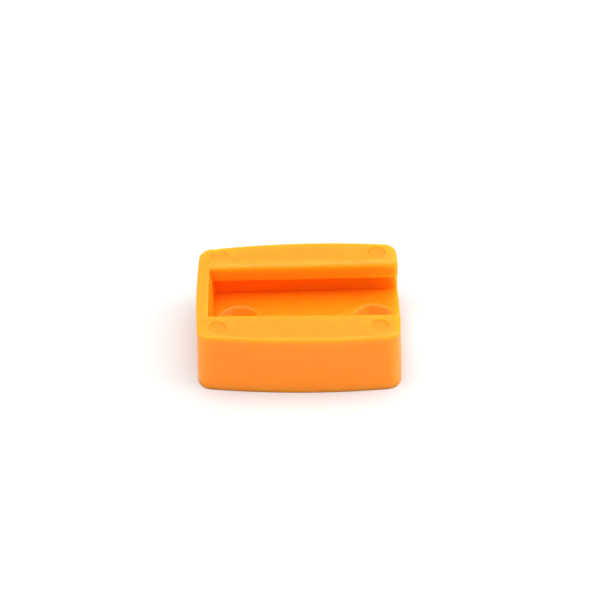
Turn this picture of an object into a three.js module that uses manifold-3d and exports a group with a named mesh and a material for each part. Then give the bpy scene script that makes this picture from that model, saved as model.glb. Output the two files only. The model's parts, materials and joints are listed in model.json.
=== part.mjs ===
// Slotted mounting block: one injection moulding in orange plastic.
// A T-shaped slot runs along X in its top, open at the +X end and closed at the -X end by a
// thin stop wall. Two countersunk screw holes go down through the slot floor to the flat base,
// and four ejector pins have left round marks in the rail tops.
// Millimetres, +Z up, origin in the middle of the base.
import * as THREE from 'three';
import { mergeVertices } from 'three/addons/utils/BufferGeometryUtils.js';
import Module from 'manifold-3d';

// Block: the sizes of its base. All four sides bow outwards and lean in towards the top.
const LENGTH = 60;
const WIDTH = 40;
const HEIGHT = 22;
const SIDE_BOW = 1.3;
const END_BOW = 0.45;
const CORNER_RADIUS = 4.3;
const DRAFT = 0.03;
const TOP_ROUND = 1.0;
const BASE_ROUND = 0.3;

// Slot: its core is drawn out of the +X end, so block and slot widen by SPLAY per millimetre.
const SPLAY = 0.001;
const SLOT_OFFSET = 0.4;
const NECK_WIDTH = 18.4;
const HEAD_WIDTH = 25;
const FLOOR_LEVEL = 8;
const LIP_LEVEL = 16.4;
const LIP_ROUND = 1.6;
const STOP_WALL = 4.2;
const STOP_SLOPE = 0.15;

// Screw holes for 6 mm countersunk screws, on the slot's middle line.
const HOLE_PITCH = 39.2;
const HOLE_MIDDLE = 2.3;
const SHANK_DIAMETER = 6.4;
const RIM_DIAMETER = 13.3;
const CONE_ANGLE = Math.PI / 2;
const RIM_ROUND = 0.5;

// Ejector pin marks, two on each rail.
const MARK_DIAMETER = 5.2;
const MARK_DEPTH = 0.5;
const MARK_X = 23;
const MARK_Y = 14.4;

// Steps along each curve, and how far a cutting body runs past the surface it cuts.
const SIDE_STEPS = 14;
const END_STEPS = 8;
const CORNER_STEPS = 6;
const ROUND_STEPS = 4;
const HOLE_STEPS = 40;
const CLEAR = 2;

const wasm = await Module();
wasm.setup();

// One bowed side with its end corner, seen from above, of the outline that runs anticlockwise.
// The side crosses the +u axis at reach and turns its back on -u; span is its half-length.
function bowedSide(reach, span, bow, radius, steps) {
  const points = [];
  for (let i = 0; i <= steps; i += 1) {
    const v = span * ((2 * i) / steps - 1);
    const slope = (2 * bow * v) / (span * span);
    const normal = new THREE.Vector2(1, slope).normalize();
    points.push(new THREE.Vector2(reach - bow * (v / span) ** 2, v).addScaledVector(normal, radius));
  }
  return points;
}

// The rounding between two sides: an arc about the corner's centre from one point to the next.
function cornerArc(centre, from, to) {
  const start = Math.atan2(from.y - centre.y, from.x - centre.x);
  const end = Math.atan2(to.y - centre.y, to.x - centre.x);
  const turn = (end - start + 2 * Math.PI) % (2 * Math.PI);
  const radius = from.distanceTo(centre);
  const points = [];
  for (let i = 1; i < CORNER_STEPS; i += 1) {
    const angle = start + (turn * i) / CORNER_STEPS;
    points.push(new THREE.Vector2(Math.cos(angle), Math.sin(angle)).multiplyScalar(radius).add(centre));
  }
  return points;
}

// The block's outline, moved inwards by inset all round.
function outline(inset) {
  const radius = Math.max(CORNER_RADIUS - inset, TOP_ROUND);
  const reachX = LENGTH / 2 - inset - radius;
  const reachY = WIDTH / 2 - inset - radius;
  const spanX = reachX - END_BOW;
  const spanY = reachY - SIDE_BOW;
  const right = bowedSide(reachX, spanY, END_BOW, radius, END_STEPS);
  const back = bowedSide(reachY, spanX, SIDE_BOW, radius, SIDE_STEPS);
  const backTurned = back.map((p) => new THREE.Vector2(-p.y, p.x));
  const cornerA = cornerArc(new THREE.Vector2(spanX, spanY), right.at(-1), backTurned[0]);
  const cornerB = cornerArc(new THREE.Vector2(-spanX, spanY), backTurned.at(-1), right[0].clone().negate());
  const half = [...right, ...cornerA, ...backTurned, ...cornerB];
  return [...half, ...half.map((p) => p.clone().negate())];
}

// The wall's section from base to top, as the inset of the outline at each height.
function wallSection() {
  const section = [];
  for (let i = 0; i <= ROUND_STEPS; i += 1) {
    const angle = (Math.PI / 2) * (i / ROUND_STEPS);
    const z = BASE_ROUND * (1 - Math.cos(angle));
    section.push({ z, inset: DRAFT * z + BASE_ROUND * (1 - Math.sin(angle)) });
  }
  const shoulder = HEIGHT - TOP_ROUND;
  for (let i = 0; i <= ROUND_STEPS; i += 1) {
    const angle = (Math.PI / 2) * (i / ROUND_STEPS);
    const inset = DRAFT * shoulder + TOP_ROUND * (1 - Math.cos(angle));
    section.push({ z: shoulder + TOP_ROUND * Math.sin(angle), inset });
  }
  return section;
}

// Widens a shape towards the slot's open end.
function splay(geometry) {
  const place = geometry.getAttribute('position');
  for (let i = 0; i < place.count; i += 1) {
    place.setY(i, place.getY(i) * (1 + SPLAY * place.getX(i)));
  }
  return geometry;
}

// The solid block: its outline at each height joined into walls, with a flat base and top.
function blockBody() {
  const rings = wallSection().map(({ z, inset }) => outline(inset).map((p) => [p.x, p.y, z]));
  const size = rings[0].length;
  const vertices = [...rings.flat(), [0, 0, 0], [0, 0, HEIGHT]];
  const baseMiddle = rings.length * size;
  const topMiddle = baseMiddle + 1;
  const topRing = baseMiddle - size;
  const triangles = [];
  for (let i = 0; i < size; i += 1) {
    const next = (i + 1) % size;
    for (let start = 0; start < topRing; start += size) {
      triangles.push(start + i, start + next, start + size + next);
      triangles.push(start + i, start + size + next, start + size + i);
    }
    triangles.push(baseMiddle, next, i);
    triangles.push(topMiddle, topRing + i, topRing + next);
  }
  const geometry = new THREE.BufferGeometry();
  geometry.setAttribute('position', new THREE.Float32BufferAttribute(vertices.flat(), 3));
  geometry.setIndex(triangles);
  return splay(geometry);
}

// The stop wall's face: it leans back between the lips and stands upright below them.
function stopFace(z) {
  return STOP_WALL - LENGTH / 2 + STOP_SLOPE * (HEIGHT - z);
}

// The cutting body of the slot's wide head, from the stop wall out past the open end.
function headCutter() {
  const start = stopFace(LIP_LEVEL);
  const end = LENGTH / 2 + CLEAR;
  const geometry = new THREE.BoxGeometry(end - start, HEAD_WIDTH, LIP_LEVEL - FLOOR_LEVEL);
  return splay(geometry.translate((start + end) / 2, SLOT_OFFSET, (LIP_LEVEL + FLOOR_LEVEL) / 2));
}

// The section of the slot's neck, between two lips whose upper edges are rounded.
function neckSection() {
  const neck = NECK_WIDTH / 2;
  const roundLevel = HEIGHT - LIP_ROUND;
  const mouth = neck + LIP_ROUND;
  const shape = new THREE.Shape();
  shape.moveTo(-neck, LIP_LEVEL - CLEAR);
  shape.lineTo(neck, LIP_LEVEL - CLEAR);
  shape.lineTo(neck, roundLevel);
  shape.absarc(mouth, roundLevel, LIP_ROUND, Math.PI, Math.PI / 2, true);
  shape.lineTo(mouth, HEIGHT + CLEAR);
  shape.lineTo(-mouth, HEIGHT + CLEAR);
  shape.lineTo(-mouth, HEIGHT);
  shape.absarc(-mouth, roundLevel, LIP_ROUND, Math.PI / 2, 0, true);
  shape.closePath();
  return shape;
}

// The neck's cutting body, which runs down into the head.
function neckCutter() {
  const depth = LENGTH + CLEAR;
  const geometry = new THREE.ExtrudeGeometry(neckSection(), {
    depth,
    bevelEnabled: false,
    curveSegments: 2 * ROUND_STEPS,
  });
  const along = new THREE.Vector3(1, 0, 0);
  const across = new THREE.Vector3(0, 1, 0);
  const up = new THREE.Vector3(0, 0, 1);
  geometry.applyMatrix4(new THREE.Matrix4().makeBasis(across, up, along));
  geometry.translate(-LENGTH / 2, SLOT_OFFSET, 0);
  const place = geometry.getAttribute('position');
  for (let i = 0; i < place.count; i += 1) {
    if (place.getX(i) < 0) {
      place.setX(i, stopFace(place.getZ(i)));
    }
  }
  return splay(geometry);
}

// The cutting body of one screw hole: shank, cone, rounded rim and the screw head's way in.
function holeCutter(x) {
  const shank = SHANK_DIAMETER / 2;
  const rim = RIM_DIAMETER / 2;
  const half = CONE_ANGLE / 2;
  const tangent = RIM_ROUND * Math.tan((Math.PI / 2 - half) / 2);
  const coneTop = rim - tangent - tangent * Math.sin(half);
  const coneTopLevel = FLOOR_LEVEL - tangent * Math.cos(half);
  const coneFoot = coneTopLevel - (coneTop - shank) / Math.tan(half);
  const profile = [
    new THREE.Vector2(0, -CLEAR),
    new THREE.Vector2(shank, -CLEAR),
    new THREE.Vector2(shank, coneFoot),
  ];
  for (let i = 0; i <= ROUND_STEPS; i += 1) {
    const angle = Math.PI - half + ((half - Math.PI / 2) * i) / ROUND_STEPS;
    const r = rim + RIM_ROUND * Math.cos(angle);
    profile.push(new THREE.Vector2(r, FLOOR_LEVEL - RIM_ROUND + RIM_ROUND * Math.sin(angle)));
  }
  profile.push(new THREE.Vector2(rim, FLOOR_LEVEL + CLEAR), new THREE.Vector2(0, FLOOR_LEVEL + CLEAR));
  return new THREE.LatheGeometry(profile, HOLE_STEPS).rotateX(Math.PI / 2).translate(x, SLOT_OFFSET, 0);
}

// The cutting body of one ejector pin mark.
function markCutter(x, y) {
  const radius = MARK_DIAMETER / 2;
  const geometry = new THREE.CylinderGeometry(radius, radius, 2 * MARK_DEPTH, HOLE_STEPS / 2);
  return geometry.rotateX(Math.PI / 2).translate(x, SLOT_OFFSET + y, HEIGHT);
}

// A closed solid of a geometry, with its shared vertices joined.
function solid(geometry) {
  geometry.deleteAttribute('normal');
  geometry.deleteAttribute('uv');
  const merged = mergeVertices(geometry, 1e-4);
  return new wasm.Manifold(new wasm.Mesh({
    numProp: 3,
    vertProperties: new Float32Array(merged.getAttribute('position').array),
    triVerts: new Uint32Array(merged.getIndex().array),
  }));
}

// A solid's surface as a geometry.
function surface(manifold) {
  const mesh = manifold.getMesh();
  const geometry = new THREE.BufferGeometry();
  geometry.setAttribute('position', new THREE.BufferAttribute(mesh.vertProperties, 3));
  geometry.setIndex(new THREE.BufferAttribute(mesh.triVerts, 1));
  geometry.computeVertexNormals();
  return geometry;
}

const orangePlastic = new THREE.MeshStandardMaterial({
  name: 'orange_plastic',
  color: 0xff9420,
  roughness: 0.35,
  metalness: 0,
});

function slottedBlock() {
  let body = solid(blockBody()).subtract(solid(headCutter())).subtract(solid(neckCutter()));
  for (const side of [-1, 1]) {
    body = body.subtract(solid(holeCutter(HOLE_MIDDLE + (side * HOLE_PITCH) / 2)));
    for (const end of [-1, 1]) {
      body = body.subtract(solid(markCutter(end * MARK_X, side * MARK_Y)));
    }
  }
  const mesh = new THREE.Mesh(surface(body), orangePlastic);
  mesh.name = 'slotted_block';
  return mesh;
}

const object = new THREE.Group();
object.add(slottedBlock());

export default object;
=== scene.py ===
# A slotted mounting block: one orange plastic moulding with a T-shaped slot and two screw holes.
import json
import math

import bmesh
import bpy
from mathutils import Matrix, Vector


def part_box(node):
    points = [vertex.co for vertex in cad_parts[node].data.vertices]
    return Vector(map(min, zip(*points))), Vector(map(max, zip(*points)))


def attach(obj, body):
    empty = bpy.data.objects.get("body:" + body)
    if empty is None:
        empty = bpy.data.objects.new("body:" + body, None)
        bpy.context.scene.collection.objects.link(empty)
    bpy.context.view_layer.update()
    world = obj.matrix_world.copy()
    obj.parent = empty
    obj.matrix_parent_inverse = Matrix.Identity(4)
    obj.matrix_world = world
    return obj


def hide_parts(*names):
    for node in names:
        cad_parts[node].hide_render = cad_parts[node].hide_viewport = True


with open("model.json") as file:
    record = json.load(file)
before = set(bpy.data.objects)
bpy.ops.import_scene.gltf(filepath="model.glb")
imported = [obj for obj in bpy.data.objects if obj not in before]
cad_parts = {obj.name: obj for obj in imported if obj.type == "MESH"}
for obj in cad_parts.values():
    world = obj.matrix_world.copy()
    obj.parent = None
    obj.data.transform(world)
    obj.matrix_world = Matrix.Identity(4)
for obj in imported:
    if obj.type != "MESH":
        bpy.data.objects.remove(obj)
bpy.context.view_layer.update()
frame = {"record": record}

mounts = {mount["name"]: Vector(mount["pos_m"]) for mount in frame["record"]["mounts"]}
MM = 0.001


# ---- Block ----------------------------------------------------------------------------------
# One solid moulding in orange polypropylene. Its four sides bow outwards and lean in towards
# the top, so that it leaves its mould, and it stands on a flat base.
block_low, block_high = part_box("slotted_block")
BLOCK_LENGTH = block_high.x - block_low.x
BLOCK_HEIGHT = block_high.z - block_low.z
BLOCK_WIDTH = 39.97 * MM
SIDE_BOW = 1.3 * MM
END_BOW = 0.45 * MM
CORNER_RADIUS = 4.3 * MM
DRAFT = 0.03
BASE_BAND = 0.8 * MM
SIDE_STEPS = 20
END_STEPS = 5
CORNER_STEPS = 9
SAME_POINT = 0.01 * MM
FACES_UP = 0.9


def pick_nothing():
    bpy.ops.object.select_all(action="DESELECT")


def apply_modifier(piece, kind, **settings):
    pick_nothing()
    piece.select_set(True)
    bpy.context.view_layer.objects.active = piece
    modifier = piece.modifiers.new(kind.title(), kind)
    for name, value in settings.items():
        setattr(modifier, name, value)
    bpy.ops.object.modifier_apply(modifier=modifier.name)


def pick_faces(piece, test):
    bpy.ops.mesh.select_mode(type="FACE")
    bpy.ops.mesh.select_all(action="DESELECT")
    bpy.ops.object.mode_set(mode="OBJECT")
    for face in piece.data.polygons:
        face.select = test(face)
    bpy.ops.object.mode_set(mode="EDIT")


def sweep_arc(centre, angle, steps):
    bpy.ops.mesh.spin(steps=steps, angle=-angle, center=(*centre, 0), axis=(0, 0, 1))


side_span = BLOCK_LENGTH / 2 - CORNER_RADIUS - END_BOW
end_span = BLOCK_WIDTH / 2 - CORNER_RADIUS - SIDE_BOW
side_radius = (side_span**2 + SIDE_BOW**2) / (2 * SIDE_BOW) + CORNER_RADIUS
end_radius = (end_span**2 + END_BOW**2) / (2 * END_BOW) + CORNER_RADIUS
side_half = math.asin(side_span / (side_radius - CORNER_RADIUS))
end_half = math.asin(end_span / (end_radius - CORNER_RADIUS))
corner_turn = math.pi / 2 - side_half - end_half
end_centre = BLOCK_LENGTH / 2 - end_radius
side_centre = BLOCK_WIDTH / 2 - side_radius

pick_nothing()
bpy.ops.mesh.primitive_plane_add(size=MM)
block = bpy.context.object
block.name = "slotted_block_moulding"
bpy.ops.object.mode_set(mode="EDIT")
bpy.ops.mesh.select_all(action="SELECT")
bpy.ops.mesh.merge(type="CENTER")
first_x = end_centre + end_radius * math.cos(end_half)
bpy.ops.transform.translate(value=(first_x, -end_radius * math.sin(end_half), 0))
for way in (1, -1):
    sweep_arc((way * end_centre, 0), 2 * end_half, END_STEPS)
    sweep_arc((way * side_span, way * end_span), corner_turn, CORNER_STEPS)
    sweep_arc((0, way * side_centre), 2 * side_half, SIDE_STEPS)
    sweep_arc((-way * side_span, way * end_span), corner_turn, CORNER_STEPS)
bpy.ops.mesh.select_all(action="SELECT")
bpy.ops.mesh.remove_doubles(threshold=SAME_POINT)
bpy.ops.mesh.edge_face_add()
bpy.ops.mesh.extrude_region_move(TRANSFORM_OT_translate={"value": (0, 0, BASE_BAND)})
bpy.ops.mesh.select_all(action="SELECT")
bpy.ops.mesh.normals_make_consistent(inside=False)
pick_faces(block, lambda face: face.normal.z > FACES_UP)
rise = BLOCK_HEIGHT - BASE_BAND
bpy.ops.mesh.inset(thickness=DRAFT * rise, depth=rise, use_even_offset=True)
bpy.ops.object.mode_set(mode="OBJECT")


# ---- Slot -----------------------------------------------------------------------------------
# A T-shaped slot, left by a steel core that is drawn out of the open end, so slot and block widen
# a little that way. The core's shoulders round the tops of the lips, and its corners at the stop
# wall are rounded. The wall leans back between the lips and stands upright under them.
FLOOR_LEVEL = mounts["slot_floor"].z
LIP_LEVEL = mounts["back_lip_underside"].z
SLOT_OFFSET = mounts["slot_floor"].y
STOP_TOP = -25.8 * MM
STOP_SLOPE = 0.15
NECK_WIDTH = 18.4 * MM
HEAD_WIDTH = 25 * MM
HEAD_CORNER = 1.5 * MM
HEAD_CORNER_STEPS = 8
LIP_ROUND = 1.6 * MM
LIP_SIDES = 48
SPLAY_PER_METRE = 1.0
PAST = 3 * MM


def stop_face(z):
    return STOP_TOP + STOP_SLOPE * (BLOCK_HEIGHT - z)


def slot_core(width, bottom, top, upright_below=0):
    pick_nothing()
    length = BLOCK_LENGTH / 2 + PAST - STOP_TOP
    middle = (STOP_TOP + length / 2, SLOT_OFFSET, (bottom + top) / 2)
    bpy.ops.mesh.primitive_cube_add(size=1, location=middle, scale=(length, width, top - bottom))
    bpy.ops.object.transform_apply(location=True, rotation=True, scale=True)
    core = bpy.context.object
    for corner in core.data.vertices:
        if corner.co.x < 0:
            corner.co.x = stop_face(max(corner.co.z, upright_below))
    return core


def cut_away(piece, tool):
    apply_modifier(piece, "BOOLEAN", operation="DIFFERENCE", solver="EXACT", object=tool)
    bpy.data.objects.remove(tool)


head_core = slot_core(HEAD_WIDTH, FLOOR_LEVEL, LIP_LEVEL, upright_below=LIP_LEVEL)
bpy.ops.object.mode_set(mode="EDIT")
bpy.ops.mesh.select_mode(type="EDGE")
bpy.ops.mesh.select_all(action="DESELECT")
bpy.ops.object.mode_set(mode="OBJECT")
for edge in head_core.data.edges:
    a, b = [head_core.data.vertices[i].co for i in edge.vertices]
    edge.select = max(a.x, b.x) < 0 and abs(a.z - b.z) > MM
bpy.ops.object.mode_set(mode="EDIT")
bpy.ops.mesh.bevel(offset=HEAD_CORNER, segments=HEAD_CORNER_STEPS, affect="EDGES")
bpy.ops.object.mode_set(mode="OBJECT")
cut_away(block, head_core)
cut_away(block, slot_core(NECK_WIDTH, LIP_LEVEL - MM, BLOCK_HEIGHT))
shoulder_core = slot_core(NECK_WIDTH + 2 * LIP_ROUND, BLOCK_HEIGHT - LIP_ROUND, BLOCK_HEIGHT + PAST)
for side in (-1, 1):
    pick_nothing()
    bpy.ops.mesh.primitive_cylinder_add(
        vertices=LIP_SIDES,
        radius=LIP_ROUND,
        depth=2 * BLOCK_LENGTH,
        location=(0, SLOT_OFFSET + side * (NECK_WIDTH / 2 + LIP_ROUND), BLOCK_HEIGHT - LIP_ROUND),
        rotation=(0, math.pi / 2, 0),
    )
    cut_away(shoulder_core, bpy.context.object)
cut_away(block, shoulder_core)
splay = SPLAY_PER_METRE * BLOCK_LENGTH
apply_modifier(block, "SIMPLE_DEFORM", deform_method="TAPER", deform_axis="X", factor=splay, lock_z=True)


# ---- Screw holes ----------------------------------------------------------------------------
# Two holes for 6 mm countersunk screws go down through the slot's floor to the base. Steel pins
# in the mould leave them.
HOLE_PITCH = 39.2 * MM
HOLE_MIDDLE = mounts["slot_floor"].x
SHANK_RADIUS = 3.2 * MM
RIM_RADIUS = 6.65 * MM
CONE_DEPTH = RIM_RADIUS - SHANK_RADIUS
HOLE_SIDES = 72

hole_places = [HOLE_MIDDLE - HOLE_PITCH / 2, HOLE_MIDDLE + HOLE_PITCH / 2]
for x in hole_places:
    pick_nothing()
    bpy.ops.mesh.primitive_circle_add(
        vertices=HOLE_SIDES, radius=SHANK_RADIUS, fill_type="NGON", location=(x, SLOT_OFFSET, -PAST)
    )
    pin = bpy.context.object
    bpy.ops.object.mode_set(mode="EDIT")
    bpy.ops.mesh.select_all(action="SELECT")
    shank = FLOOR_LEVEL - CONE_DEPTH + PAST
    bpy.ops.mesh.extrude_region_move(TRANSFORM_OT_translate={"value": (0, 0, shank)})
    bpy.ops.mesh.extrude_region_move(TRANSFORM_OT_translate={"value": (0, 0, CONE_DEPTH)})
    bpy.ops.transform.resize(value=(RIM_RADIUS / SHANK_RADIUS, RIM_RADIUS / SHANK_RADIUS, 1))
    bpy.ops.mesh.extrude_region_move(TRANSFORM_OT_translate={"value": (0, 0, PAST)})
    bpy.ops.mesh.select_all(action="SELECT")
    bpy.ops.mesh.normals_make_consistent(inside=False)
    bpy.ops.object.mode_set(mode="OBJECT")
    cut_away(block, pin)


# ---- Roundings ------------------------------------------------------------------------------
# The outside edges are rounded, from 0.3 mm round the base to 1 mm round the top. The inside
# corners are as sharp as the core that made them.
TOP_ROUND = 1.0 * MM
MOUTH_ROUND = 0.65 * MM
RIM_ROUND = 0.4 * MM
EDGE_ROUND = 0.3 * MM
ROUND_STEPS = 6
SHARP_ANGLE = math.radians(20)
NEAR = 0.06 * MM


def rounding(edge):
    a, b = [corner.co for corner in edge.verts]

    def both(measure, value):
        return abs(measure(a) - value) < NEAR and abs(measure(b) - value) < NEAR

    def from_hole(place):
        return min(math.hypot(place.x - x, place.y - SLOT_OFFSET) for x in hole_places)

    def from_middle(place):
        return abs(place.y / (1 + SPLAY_PER_METRE * place.x) - SLOT_OFFSET)

    if not edge.is_convex or edge.calc_face_angle(0) < SHARP_ANGLE:
        return 0
    if both(lambda place: place.x - stop_face(place.z), 0):
        return 0
    if both(from_hole, RIM_RADIUS):
        return RIM_ROUND
    if both(from_hole, SHANK_RADIUS) or both(lambda place: place.z, 0):
        return EDGE_ROUND
    if both(from_middle, NECK_WIDTH / 2) and both(lambda place: place.z, LIP_LEVEL):
        return EDGE_ROUND
    return TOP_ROUND if max(a.z, b.z) > LIP_LEVEL + NEAR else MOUTH_ROUND


weights = block.data.attributes.new("bevel_weight_edge", "FLOAT", "EDGE")
shape = bmesh.new()
shape.from_mesh(block.data)
for edge in shape.edges:
    weights.data[edge.index].value = rounding(edge) / TOP_ROUND
shape.free()
apply_modifier(
    block, "BEVEL", limit_method="WEIGHT", width=TOP_ROUND, segments=ROUND_STEPS, use_clamp_overlap=False
)


# ---- Ejector pin marks ----------------------------------------------------------------------
# Four pins push the moulding out of its mould, two on each rail. They leave shallow round marks,
# whose floors round up into their walls.
MARK_RADIUS = 2.6 * MM
MARK_DEPTH = 0.5 * MM
MARK_FILLET = 0.3 * MM
MARK_X = 23 * MM
MARK_Y = 14.4 * MM
MARK_SIDES = 64
SMOOTH_ANGLE = math.radians(32)

for mark_x in (-MARK_X, MARK_X):
    for mark_y in (SLOT_OFFSET - MARK_Y, SLOT_OFFSET + MARK_Y):
        pick_nothing()
        bpy.ops.mesh.primitive_cylinder_add(
            vertices=MARK_SIDES,
            radius=MARK_RADIUS,
            depth=2 * MARK_DEPTH,
            location=(mark_x, mark_y, BLOCK_HEIGHT),
        )
        pin = bpy.context.object
        apply_modifier(pin, "BEVEL", width=MARK_FILLET, segments=ROUND_STEPS, limit_method="ANGLE")
        cut_away(block, pin)
pick_nothing()
block.select_set(True)
bpy.context.view_layer.objects.active = block
bpy.ops.object.shade_smooth_by_angle(angle=SMOOTH_ANGLE)
apply_modifier(block, "WEIGHTED_NORMAL", keep_sharp=True, weight=100)


# ---- Orange plastic -------------------------------------------------------------------------
# The moulding's finish: a smooth, slightly translucent orange plastic with a faint orange-peel
# surface and small differences in pigment. Its outer edges are rubbed duller, and painted a little
# paler: a painted highlight along the ridges, mixed with edge wear.
ORANGE = (0.88, 0.250, 0.003, 1)
DEEP_ORANGE = (0.86, 0.230, 0.002, 1)
# Paler orange for the outer edges: a painted highlight along the ridges, mixed with edge wear.
RUBBED_AND_HIGHLIT_ORANGE = (0.89, 0.275, 0.010, 1)
WEAR_AND_HIGHLIGHT_START = 0.53
WEAR_AND_HIGHLIGHT_END = 0.62
GLOSSY_ROUGHNESS = 0.30
DULL_ROUGHNESS = 0.42
WORN_ROUGHNESS = 0.48
DEPTH_OF_GLOW = 20 * MM
GLOW_BY_COLOUR = (0.3, 0.5, 0.2)
REFRACTION = 1.49
GLOSS = 0.28
PEEL_HEIGHT = 0.02 * MM


def add_node(tree, kind, place, **values):
    node = tree.nodes.new(kind)
    node.location = place
    for name, value in values.items():
        node.inputs[name].default_value = value
    return node


plastic = bpy.data.materials.new("orange_plastic_moulded")
plastic.use_nodes = True
tree = plastic.node_tree
shader = tree.nodes["Principled BSDF"]
shader.inputs["Subsurface Weight"].default_value = 1.0
shader.inputs["Subsurface Radius"].default_value = GLOW_BY_COLOUR
shader.inputs["Subsurface Scale"].default_value = DEPTH_OF_GLOW
shader.inputs["IOR"].default_value = REFRACTION
shader.inputs["Specular IOR Level"].default_value = GLOSS
place_in_piece = add_node(tree, "ShaderNodeTexCoord", (-1200, 0))
pigment = add_node(tree, "ShaderNodeTexNoise", (-900, 200), Scale=90.0, Detail=3.0)
mix = add_node(tree, "ShaderNodeMix", (-500, 200))
mix.data_type = "RGBA"
mix.inputs["A"].default_value = ORANGE
mix.inputs["B"].default_value = DEEP_ORANGE
rough_noise = add_node(tree, "ShaderNodeTexNoise", (-900, -100), Scale=260.0, Detail=4.0)
rough_range = add_node(tree, "ShaderNodeMapRange", (-500, -100))
rough_range.inputs["To Min"].default_value = GLOSSY_ROUGHNESS
rough_range.inputs["To Max"].default_value = DULL_ROUGHNESS
peel = add_node(tree, "ShaderNodeTexNoise", (-900, -400), Scale=1400.0, Detail=2.0)
bump = add_node(tree, "ShaderNodeBump", (-500, -400), Strength=0.15, Distance=PEEL_HEIGHT)
shape_of_edges = add_node(tree, "ShaderNodeNewGeometry", (-1200, 600))
scuffs_and_sheen = add_node(tree, "ShaderNodeTexNoise", (-900, 500), Scale=420.0, Detail=3.0)
edge_range = add_node(tree, "ShaderNodeMapRange", (-900, 800))
edge_range.inputs["From Min"].default_value = WEAR_AND_HIGHLIGHT_START
edge_range.inputs["From Max"].default_value = WEAR_AND_HIGHLIGHT_END
# Edge mask from pointiness and noise. Its paler colour is a painted highlight on the convex ridges,
# mixed with edge wear; its duller roughness is the wear.
wear_and_highlight = add_node(tree, "ShaderNodeMath", (-500, 700))
wear_and_highlight.operation = "MULTIPLY"
rubbed_and_highlit = add_node(tree, "ShaderNodeMix", (-250, 400))
rubbed_and_highlit.data_type = "RGBA"
rubbed_and_highlit.inputs["B"].default_value = RUBBED_AND_HIGHLIT_ORANGE
dulled = add_node(tree, "ShaderNodeMix", (-250, 0))
dulled.inputs["B"].default_value = WORN_ROUGHNESS
for texture in (pigment, rough_noise, peel, scuffs_and_sheen):
    tree.links.new(place_in_piece.outputs["Object"], texture.inputs["Vector"])
tree.links.new(pigment.outputs["Fac"], mix.inputs["Factor"])
tree.links.new(shape_of_edges.outputs["Pointiness"], edge_range.inputs["Value"])
tree.links.new(edge_range.outputs["Result"], wear_and_highlight.inputs[0])
tree.links.new(scuffs_and_sheen.outputs["Fac"], wear_and_highlight.inputs[1])
tree.links.new(wear_and_highlight.outputs["Value"], rubbed_and_highlit.inputs["Factor"])
tree.links.new(mix.outputs["Result"], rubbed_and_highlit.inputs["A"])
tree.links.new(rubbed_and_highlit.outputs["Result"], shader.inputs["Base Color"])
tree.links.new(rough_noise.outputs["Fac"], rough_range.inputs["Value"])
tree.links.new(wear_and_highlight.outputs["Value"], dulled.inputs["Factor"])
tree.links.new(rough_range.outputs["Result"], dulled.inputs["A"])
tree.links.new(dulled.outputs["Result"], shader.inputs["Roughness"])
tree.links.new(peel.outputs["Fac"], bump.inputs["Height"])
tree.links.new(bump.outputs["Normal"], shader.inputs["Normal"])
block.data.materials.clear()
block.data.materials.append(plastic)
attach(block, "root")
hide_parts("slotted_block")


# ---- Studio ---------------------------------------------------------------------------------
# A plain pale floor in a white light tent. The main soft light is overhead. Weak ones stand round
# the tent, high and low, and the low ones are kept from glaring in the block's flat faces.
FLOOR_SIZE = 4.0
PAPER_WHITE = (0.6, 0.6, 0.6, 1)
PAPER_ROUGHNESS = 0.9
TENT_LIGHT = 0.374
LIGHT_BOUNCES = 12

pick_nothing()
bpy.ops.mesh.primitive_plane_add(size=FLOOR_SIZE, location=(0, 0, block_low.z))
studio_floor = bpy.context.object
studio_floor.name = "studio_floor"
paper = bpy.data.materials.new("white_paper")
paper.use_nodes = True
paper.node_tree.nodes["Principled BSDF"].inputs["Base Color"].default_value = PAPER_WHITE
paper.node_tree.nodes["Principled BSDF"].inputs["Roughness"].default_value = PAPER_ROUGHNESS
studio_floor.data.materials.append(paper)

tent = bpy.data.worlds.new("light_tent")
tent.use_nodes = True
tent.node_tree.nodes["Background"].inputs["Color"].default_value = (1, 1, 1, 1)
tent.node_tree.nodes["Background"].inputs["Strength"].default_value = TENT_LIGHT
bpy.context.scene.world = tent


def add_softbox(name, place, size, power, glare=True):
    bpy.ops.object.light_add(type="AREA", location=place)
    softbox = bpy.context.object
    softbox.name = name
    softbox.rotation_euler = (-Vector(place)).to_track_quat("-Z", "Y").to_euler()
    softbox.data.size = size
    softbox.data.energy = power
    softbox.visible_glossy = glare


add_softbox("overhead_softbox", (0, 0, 1.0), 1.2, 13.8)
add_softbox("high_right_softbox", (0.8, 0, 0.8), 0.7, 3.7)
add_softbox("high_left_softbox", (-0.8, 0, 0.8), 0.7, 2.7)
add_softbox("high_back_softbox", (0, 0.8, 0.8), 0.7, 1.0)
add_softbox("low_right_softbox", (1.1, 0, 0.35), 0.6, 5.4, glare=False)
add_softbox("low_left_softbox", (-1.1, 0, 0.35), 0.6, 1.6, glare=False)
add_softbox("low_front_softbox", (0, -1.1, 0.35), 0.6, 3.5, glare=False)
bpy.context.scene.cycles.diffuse_bounces = LIGHT_BOUNCES


# ---- Camera ---------------------------------------------------------------------------------
# It looks down on the long front side, almost square to it.
VIEW_TURN = math.radians(0.515)
VIEW_ELEVATION = math.radians(47.387)
VIEW_ROLL = math.radians(-1.331)
VIEW_DISTANCE = 633.3 * MM
VIEW_RIGHT = 0.21 * MM
VIEW_UP = 12.17 * MM
LENS = 128.6
NEAREST = 10 * MM

bpy.ops.object.camera_add()
camera = bpy.context.object
camera.name = "camera"
camera.data.lens = LENS
camera.data.clip_start = NEAREST
turned = Matrix.Rotation(VIEW_TURN, 4, "Z") @ Matrix.Rotation(math.pi / 2 - VIEW_ELEVATION, 4, "X")
turned = turned @ Matrix.Rotation(VIEW_ROLL, 4, "Z")
camera.matrix_world = turned @ Matrix.Translation((VIEW_RIGHT, VIEW_UP, VIEW_DISTANCE))
bpy.context.scene.camera = camera
bpy.context.scene.view_settings.view_transform = "Standard"
